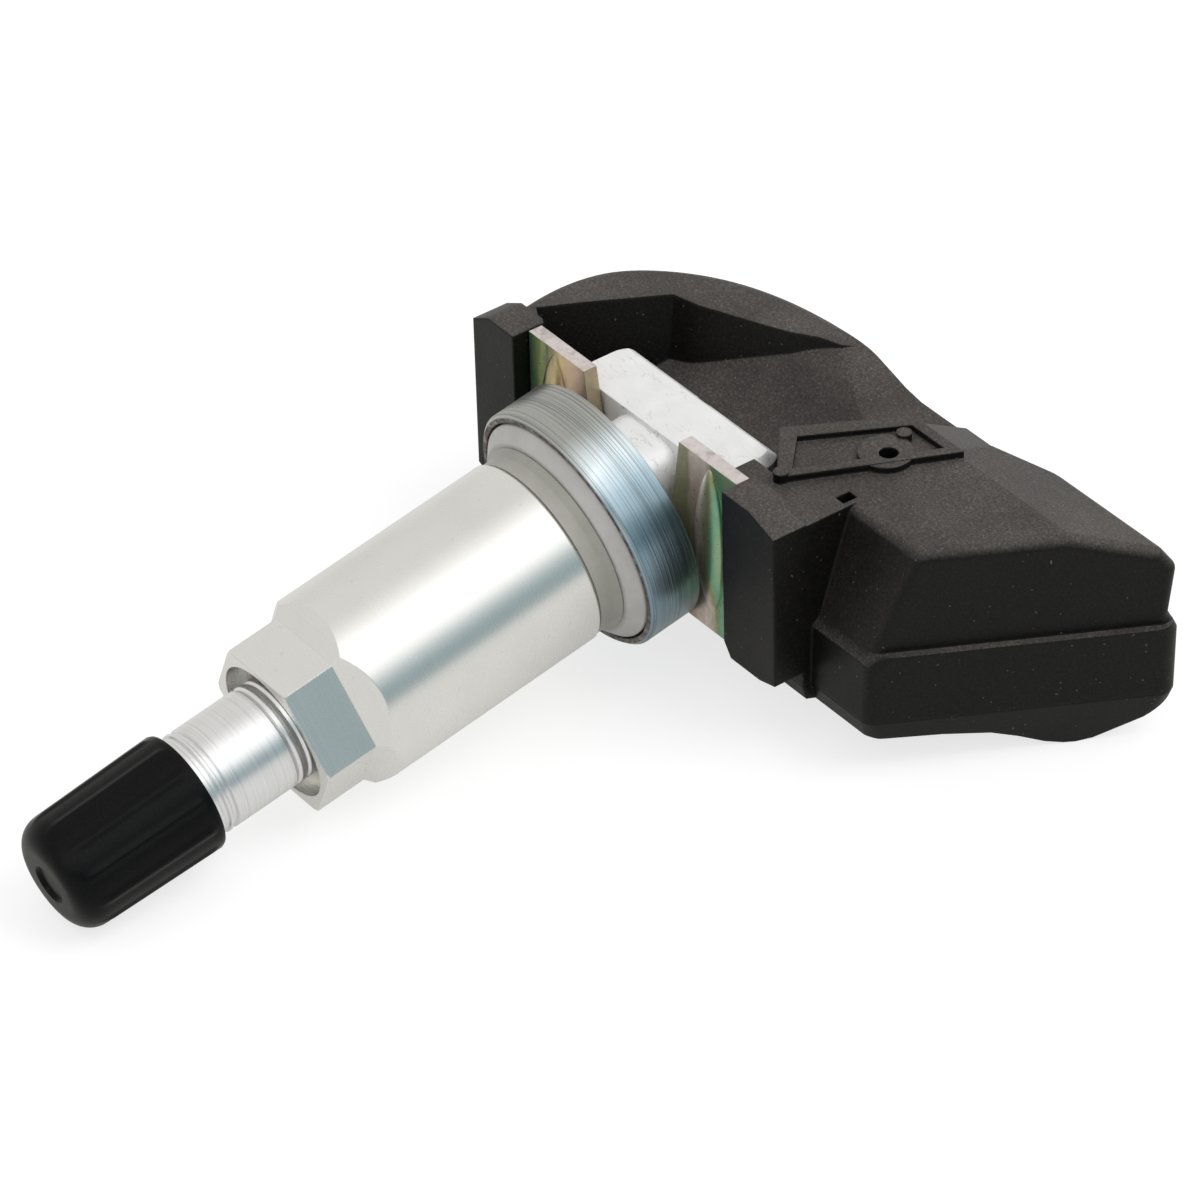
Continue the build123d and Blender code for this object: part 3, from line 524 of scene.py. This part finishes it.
def wear(piece, material):
    """Give a piece one material."""
    piece.data.materials.clear()
    piece.data.materials.append(material)
    return piece


# Operators, one for each piece or group of like pieces


class SENSOR_OT_housing(bpy.types.Operator):
    """Moulded housing and its base cover"""
    bl_idname = "sensor.housing"
    bl_label = "Housing"

    def execute(self, context):
        look = context.scene.sensor_moulded
        shell = dressed_copy("housing_shell", "housing", 28.0)
        wear(shell, moulded_plastic("housing_black", look.tone, look.grain, look.edge))
        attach(shell, "housing")
        cover = dressed_copy("cover_shell", "base_cover", 28.0)
        darker = tuple(c * 0.9 for c in look.tone)
        wear(cover, moulded_plastic("cover_black", darker, look.grain, look.edge))
        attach(cover, "housing")
        return {"FINISHED"}


def plate_outline():
    """The plate's front outline: a rectangle with a slot open at the top. The slot's floor is a half circle of points
    (r cos a, r sin a) below its centre, and its sides lean outwards up to the top edge."""
    half, high, mouth, slot, middle = 11.85, 7.2, 5.44, 4.2, -0.4
    a = np.linspace(0, -math.pi, 33)
    arc = np.stack([slot * np.cos(a), middle + slot * np.sin(a)], axis=1)
    corners = np.array([(half, high), (mouth, high)])
    rest = np.array([(-mouth, high), (-half, high), (-half, -high), (half, -high)])
    return np.concatenate([corners, arc, rest])


def slotted_plate(name, front, thick):
    """The outline carried straight back by the plate's thickness and closed with two flat faces."""
    outline = plate_outline()
    count = len(outline)
    rows = [np.stack([outline[:, 0], np.full(count, y), outline[:, 1]], axis=1) for y in (front, front + thick)]
    index = np.arange(count)
    beside = np.roll(index, -1)
    sides = np.stack([index, beside, beside + count, index + count], axis=1)
    mesh = bpy.data.meshes.new(name)
    points = placed(np.concatenate(rows), SEAT)
    mesh.from_pydata(points.tolist(), [], [index.tolist(), (index[::-1] + count).tolist()] + sides.tolist())
    plate = finished(name, mesh, 32.0)
    level = (outline[:, 1] > 7) & (np.roll(outline[:, 1], -1) > 7)
    plate.data.polygons.foreach_set("material_index", np.concatenate([[0, 0], level]).astype(int))
    return plate


def pressed_leaf(name, middle, front):
    """A leaf-shaped boss with narrow rounded ends, and across its width the height follows half an ellipse. With t
    from -1 to 1 along its length and s across it, x = middle + s w(t), z = length t, y = front - rise
    sqrt(1 - s squared) w(t) / w(0), where w(t) = width (1 - t squared) to the power 0.7."""
    reach = np.sin(np.linspace(-math.pi / 2, math.pi / 2, 49))[:, None]
    across = np.sin(np.linspace(-math.pi / 2, math.pi / 2, 25))[None, :]
    length, width, height, low = 6.2, 1.55, 0.8, 0.6
    z = length * reach
    w = width * np.maximum(1 - reach**2, 0.0) ** 0.7
    rise = height * (w / width) * np.sqrt(np.maximum(1 - across**2, 0))
    grid = np.stack([middle + across * w + 0 * z, front + 0.02 - rise, low + z + 0 * across], axis=-1)
    return surface(name, grid, SEAT, closed_u=False, angle=60.0)


class SENSOR_OT_bracket(bpy.types.Operator):
    """Plated bracket with its pressed leaves"""
    bl_idname = "sensor.bracket"
    bl_label = "Bracket"

    def execute(self, context):
        edge = context.scene.sensor_metal.edge
        plated = chromate_plate("bracket_chromate_and_wing_shadow", edge)
        plate = slotted_plate("bracket_plate", PLATE_FRONT, PLATE_THICK)
        plate.data.materials.append(plated)
        plate.data.materials.append(sheared_edge("bracket_cut_edge", edge))
        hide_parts("bracket")
        leaves = [pressed_leaf("pressed_leaf_left", -LEAF_MIDDLE, PLATE_FRONT),
                  pressed_leaf("pressed_leaf_right", LEAF_MIDDLE, PLATE_FRONT)]
        for leaf in leaves:
            wear(leaf, plated)
        for piece in [plate] + leaves:
            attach(piece, "housing")
        return {"FINISHED"}


class SENSOR_OT_stem(bpy.types.Operator):
    """Valve stem with its head"""
    bl_idname = "sensor.stem"
    bl_label = "Valve stem"

    def execute(self, context):
        look = context.scene.sensor_metal
        stem = dressed_copy("stem_and_head", "valve_stem", 30.0)
        stem.data.materials.append(turned_stem("stem_turned", look.stem_tone, look.edge))
        stem.data.materials.append(scuffed_head("head_tumbled", look.stem_tone, look.edge))
        head = stations(stem.data) > HEAD_STATION
        stem.data.polygons.foreach_set("material_index", head.astype(int))
        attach(stem, "valve")
        return {"FINISHED"}


class SENSOR_OT_seal(bpy.types.Operator):
    """Steel ring, rubber seal and washer"""
    bl_idname = "sensor.seal"
    bl_label = "Ring, seal and washer"

    def execute(self, context):
        look = context.scene.sensor_metal
        points = [(5.68, 0.0), (9.55, 0.0), (9.55, -4.0), (9.25, -4.3), (8.9, -4.3), (8.9, -1.0), (5.68, -1.0)]
        ring = turned("steel_ring", closed(rounded(points, [0, 0.15, 0.12, 0.08, 0.1, 0.2, 0])), 200)
        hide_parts("seal_ring")
        ring.data.materials.append(zinc_ring("ring_blue_zinc", look.ring_tone, 0))
        ring.data.materials.append(ring_rim("ring_rim_shade_and_wear", 0))
        rim = stations(ring.data) < RIM_STATION
        ring.data.polygons.foreach_set("material_index", rim.astype(int))
        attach(ring, "valve")
        points = [(5.63, -1.02), (8.74, -1.02), (8.74, -4.3), (7.75, -5.14), (5.63, -5.14)]
        seal = turned("rim_seal_rubber", closed(rounded(points, [0, 0, 0.25, 0.2, 0])), 160)
        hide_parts("rim_seal")
        wear(seal, pale_rubber("seal_pale", (0.62, 0.61, 0.59), 0.45, 0))
        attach(seal, "valve")
        points = [(5.72, -5.16), (7.55, -5.16), (7.1, -5.85), (7.1, -6.89), (5.72, -6.89)]
        washer = turned("nut_washer_band", closed(rounded(points, [0, 0.1, 0.3, 0, 0])), 160)
        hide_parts("nut_washer")
        # The washer's tone is its own beige, darkened as painted shade of the groove between the seal and the nut.
        wear(washer, pale_rubber("washer_beige_shaded", (0.40, 0.39, 0.35), 0.42, 0))
        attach(washer, "washer")
        return {"FINISHED"}


class SENSOR_OT_nut(bpy.types.Operator):
    """Sleeve nut with its hexagon"""
    bl_idname = "sensor.nut"
    bl_label = "Sleeve nut"

    def execute(self, context):
        look = context.scene.sensor_metal
        nut = dressed_copy("sleeve_nut", "valve_nut", 24.0)
        wear(nut, satin_metal("nut_satin", look.nut_tone, 0.27, look.edge, 0.02))
        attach(nut, "nut")
        return {"FINISHED"}


class SENSOR_OT_cap(bpy.types.Operator):
    """Ribbed dust cap"""
    bl_idname = "sensor.cap"
    bl_label = "Dust cap"

    def execute(self, context):
        size = context.scene.sensor_cap
        cap = ribbed_cap("ribbed_cap", size.ribs, size.rise * 1000)
        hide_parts("dust_cap")
        wear(cap, moulded_plastic("cap_black", (0.0022, 0.0023, 0.0026), 0.000006, 0, 0.3, 0.13, 0.0))
        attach(cap, "cap")
        return {"FINISHED"}


def ribbed_cap(name, ribs, rise):
    """The cap is a profile of radius over station carried round the valve's axis. Between the mouth and the shoulder
    the radius rises by a rounded bump at each rib, the cube of a raised cosine, faded out at both ends."""
    back, tip, shoulder, mouth_r, tip_r = -37.8, -49.55, 1.9, 4.55, 4.35
    bend = np.radians(np.linspace(0, 90, 12))
    side = np.linspace(back - 0.25, tip + shoulder, 60)
    outer = [(mouth_r - 0.25, back), (mouth_r - 0.08, back - 0.05)]
    outer += list(zip(mouth_r + (tip_r - mouth_r) * (side - side[0]) / (side[-1] - side[0]), side))
    outer += list(zip(tip_r - shoulder * (1 - np.cos(bend[1:])), tip + shoulder - shoulder * np.sin(bend[1:])))
    outer += [(1.5, tip), (1.3, tip + 0.25), (0.0, tip + 0.25)]
    inner = [(0.0, -47.42), (4.02, -47.42), (4.02, back - 0.12), (4.15, back)]
    profile = np.array(outer + inner + [outer[0]])
    around = np.linspace(0, 2 * math.pi, ribs * 24, endpoint=False)
    radius, station = profile[:, :1], profile[:, 1:]
    bump = ((1 + np.cos(around * ribs)) / 2) ** 5
    start = np.clip((back - 0.5 - station) / 0.5, 0, 1)
    end = np.clip((station - (tip + 1.0)) / 1.2, 0, 1)
    outside = (np.arange(len(profile)) < len(outer) - 3)[:, None]
    radius = radius + rise * bump * start * end * outside
    grid = np.stack([radius * np.cos(around), station + 0 * around, radius * np.sin(around)], axis=-1)
    return surface(name, grid, STEM, angle=35.0)


INNER_FINISHES = {
    "circuit_board": ("board_green", (0.02, 0.10, 0.05), 0.35, 0.0),
    "cap_seal": ("cap_disc_rubber", (0.03, 0.03, 0.03), 0.6, 0.0),
    "core_body": ("core_brass_sleeve", (0.72, 0.52, 0.25), 0.25, 1.0),
    "core_pin": ("core_brass_pin", (0.74, 0.56, 0.28), 0.22, 1.0),
    "core_spring": ("core_spring_wire", (0.62, 0.61, 0.6), 0.3, 1.0),
    "core_gasket": ("core_gasket_red", (0.32, 0.05, 0.04), 0.5, 0.0),
    "battery_cell": ("cell_can", (0.68, 0.67, 0.65), 0.28, 1.0),
    "cell_tab_upper": ("tab_nickel_upper", (0.62, 0.58, 0.5), 0.3, 1.0),
    "cell_tab_lower": ("tab_nickel_lower", (0.62, 0.58, 0.5), 0.3, 1.0),
    "pressure_chip": ("pressure_package", (0.02, 0.02, 0.022), 0.45, 0.0),
    "port_sleeve": ("port_rubber", (0.03, 0.03, 0.03), 0.6, 0.0),
    "radio_chip": ("radio_package", (0.02, 0.02, 0.022), 0.42, 0.0),
    "crystal_can": ("crystal_steel_can", (0.68, 0.68, 0.68), 0.25, 1.0),
    "coil_core": ("ferrite_dark", (0.06, 0.055, 0.055), 0.5, 0.0),
    "coil_winding": ("winding_copper", (0.62, 0.27, 0.12), 0.32, 1.0),
    "antenna_loop": ("antenna_tinned", (0.66, 0.6, 0.46), 0.3, 1.0),
    "capacitors": ("capacitor_body", (0.38, 0.25, 0.14), 0.45, 0.0),
}


class SENSOR_OT_inside(bpy.types.Operator):
    """Finishes of the electronics and the valve core"""
    bl_idname = "sensor.inside"
    bl_label = "Inner parts"

    def execute(self, context):
        for node, (name, tone, rough, metal) in INNER_FINISHES.items():
            wear(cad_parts[node], plain_part(name, tone, rough, metal))
        return {"FINISHED"}


# Stage

CAMERA_PLACE = (0.315223, -0.217656, 0.316083)
CAMERA_TURN = (51.74125, 2.75094, 52.53783)
CAMERA_LENS = 213.6255


def seen_rays(tree):
    """1 for rays from the camera and for rays that metal and glass send on."""
    path = tree.nodes.new("ShaderNodeLightPath")
    first = maths(tree, "MAXIMUM", path.outputs["Is Camera Ray"], path.outputs["Is Glossy Ray"])
    return maths(tree, "MAXIMUM", first, path.outputs["Is Transmission Ray"])


def stage_floor(size):
    """Pale floor. The camera and reflections see it as a part of its own light and a part of light that shadows take
    away."""
    mesh = bpy.data.meshes.new("floor")
    h = size / 2
    mesh.from_pydata([(-h, -h, -0.00002), (h, -h, -0.00002), (h, h, -0.00002), (-h, h, -0.00002)], [], [(0, 1, 2, 3)])
    floor = bpy.data.objects.new("floor", mesh)
    bpy.context.scene.collection.objects.link(floor)
    material, tree, shader = new_material("floor_white")
    out = tree.nodes["Material Output"]
    shader.inputs["Base Color"].default_value = (0.66, 0.655, 0.64, 1)
    shader.inputs["Roughness"].default_value = 0.9
    shader.inputs["Specular IOR Level"].default_value = 0.1
    pale = tree.nodes.new("ShaderNodeBsdfDiffuse")
    pale.inputs["Color"].default_value = (0.34, 0.34, 0.34, 1)
    glow = tree.nodes.new("ShaderNodeEmission")
    glow.inputs["Strength"].default_value = 0.74
    dim = tree.nodes.new("ShaderNodeEmission")
    dim.inputs["Color"].default_value = (1.0, 0.99, 0.95, 1)
    dim.inputs["Strength"].default_value = 0.42
    path = tree.nodes.new("ShaderNodeLightPath")
    kind = tree.nodes.new("ShaderNodeMixShader")
    tree.links.new(path.outputs["Is Glossy Ray"], kind.inputs["Fac"])
    tree.links.new(glow.outputs[0], kind.inputs[1])
    tree.links.new(dim.outputs[0], kind.inputs[2])
    both = tree.nodes.new("ShaderNodeAddShader")
    tree.links.new(pale.outputs[0], both.inputs[0])
    tree.links.new(kind.outputs[0], both.inputs[1])
    mix = tree.nodes.new("ShaderNodeMixShader")
    tree.links.new(seen_rays(tree), mix.inputs["Fac"])
    tree.links.new(shader.outputs[0], mix.inputs[1])
    tree.links.new(both.outputs[0], mix.inputs[2])
    tree.links.new(mix.outputs[0], out.inputs["Surface"])
    mesh.materials.append(material)


def stage_world():
    """Soft studio. Round the axis that the valve lies along, metal sees white walls, a broad overhead softbox and a
    darker, cooler card low on the right. Soft surfaces get an even light from above, and the camera sees white."""
    world = bpy.data.worlds.new("studio")
    bpy.context.scene.world = world
    world.use_nodes = True
    tree = world.node_tree
    back = tree.nodes["Background"]
    out = tree.nodes["World Output"]
    direction = tree.nodes.new("ShaderNodeTexCoord").outputs["Generated"]
    split = tree.nodes.new("ShaderNodeSeparateXYZ")
    tree.links.new(direction, split.inputs["Vector"])
    turn = maths(tree, "ARCTAN2", split.outputs["Z"], split.outputs["X"])
    turn = maths(tree, "DIVIDE", turn, math.pi)
    cards = ramp(tree, turn, [
        (0.0, (0.20, 0.25, 0.26)), (0.09, (0.17, 0.24, 0.26)), (0.16, (0.36, 0.41, 0.42)),
        (0.235, (0.86, 0.87, 0.87)), (0.29, (0.95, 0.95, 0.95)), (0.42, (0.95, 0.95, 0.94)),
        (0.51, (0.66, 0.65, 0.64)), (0.60, (0.50, 0.495, 0.485)),
        (0.75, (0.51, 0.505, 0.49)), (0.95, (0.49, 0.485, 0.47)), (1.0, (0.52, 0.51, 0.5))])
    cards = blend_colour(tree, 1.0, cards, (1.4, 1.4, 1.4), "MULTIPLY")
    soft = ramp(tree, split.outputs["Z"], [(0.0, (0.34, 0.34, 0.34)), (0.5, (0.62, 0.62, 0.62)), (1.0, (1, 1, 1))])
    path = tree.nodes.new("ShaderNodeLightPath")
    colour = blend_colour(tree, path.outputs["Is Glossy Ray"], soft, cards)
    tree.links.new(colour, back.inputs["Color"])
    white = tree.nodes.new("ShaderNodeBackground")
    mix = tree.nodes.new("ShaderNodeMixShader")
    white.inputs["Color"].default_value = (1, 1, 1, 1)
    tree.links.new(path.outputs["Is Camera Ray"], mix.inputs["Fac"])
    tree.links.new(back.outputs[0], mix.inputs[1])
    tree.links.new(white.outputs[0], mix.inputs[2])
    tree.links.new(mix.outputs[0], out.inputs["Surface"])


def stage_lamp(name, place, target, size, power):
    """Square soft lamp aimed at a point."""
    light = bpy.data.lights.new(name, "AREA")
    light.size = size
    light.energy = power
    lamp = bpy.data.objects.new(name, light)
    bpy.context.scene.collection.objects.link(lamp)
    lamp.location = place
    lamp.visible_glossy = False
    away = np.array(place) - np.array(target)
    flat = math.hypot(away[0], away[1])
    lamp.rotation_euler = (math.atan2(flat, away[2]), 0, math.atan2(away[0], -away[1]))
    return lamp


class SENSOR_OT_stage(bpy.types.Operator):
    """Floor, soft light and camera"""
    bl_idname = "sensor.stage"
    bl_label = "Stage"

    def execute(self, context):
        stage_floor(context.scene.sensor_stage.floor)
        stage_world()
        stage_lamp("soft_key", (0.45, 0.35, 0.75), (0, 0, 0.01), 0.5, 3.0)
        data = bpy.data.cameras.new("camera")
        data.lens = CAMERA_LENS
        data.clip_start = 0.01
        camera = bpy.data.objects.new("camera", data)
        camera.location = CAMERA_PLACE
        camera.rotation_euler = tuple(math.radians(a) for a in CAMERA_TURN)
        context.scene.collection.objects.link(camera)
        context.scene.camera = camera
        context.scene.view_settings.view_transform = "Standard"
        return {"FINISHED"}


class SENSOR_PT_pieces(bpy.types.Panel):
    """Pieces of the sensor"""
    bl_idname = "SENSOR_PT_pieces"
    bl_label = "Tyre pressure sensor"
    bl_space_type = "VIEW_3D"
    bl_region_type = "UI"
    bl_category = "Sensor"

    def draw(self, context):
        for operator in OPERATORS:
            self.layout.operator(operator.bl_idname)


GROUPS = {"sensor_moulded": MouldedLook, "sensor_metal": MetalLook, "sensor_cap": CapSize, "sensor_stage": StageSize}
OPERATORS = (SENSOR_OT_stage, SENSOR_OT_housing, SENSOR_OT_bracket, SENSOR_OT_stem, SENSOR_OT_seal, SENSOR_OT_nut,
             SENSOR_OT_cap, SENSOR_OT_inside)


def register():
    for group in GROUPS.values():
        bpy.utils.register_class(group)
    for name, group in GROUPS.items():
        setattr(bpy.types.Scene, name, bpy.props.PointerProperty(type=group))
    for operator in OPERATORS:
        bpy.utils.register_class(operator)
    bpy.utils.register_class(SENSOR_PT_pieces)


def unregister():
    bpy.utils.unregister_class(SENSOR_PT_pieces)
    for operator in reversed(OPERATORS):
        bpy.utils.unregister_class(operator)
    for name, group in GROUPS.items():
        delattr(bpy.types.Scene, name)
        bpy.utils.unregister_class(group)


def main():
    register()
    for operator in OPERATORS:
        family, action = operator.bl_idname.split(".")
        getattr(getattr(bpy.ops, family), action)()


if __name__ == "__main__":
    main()
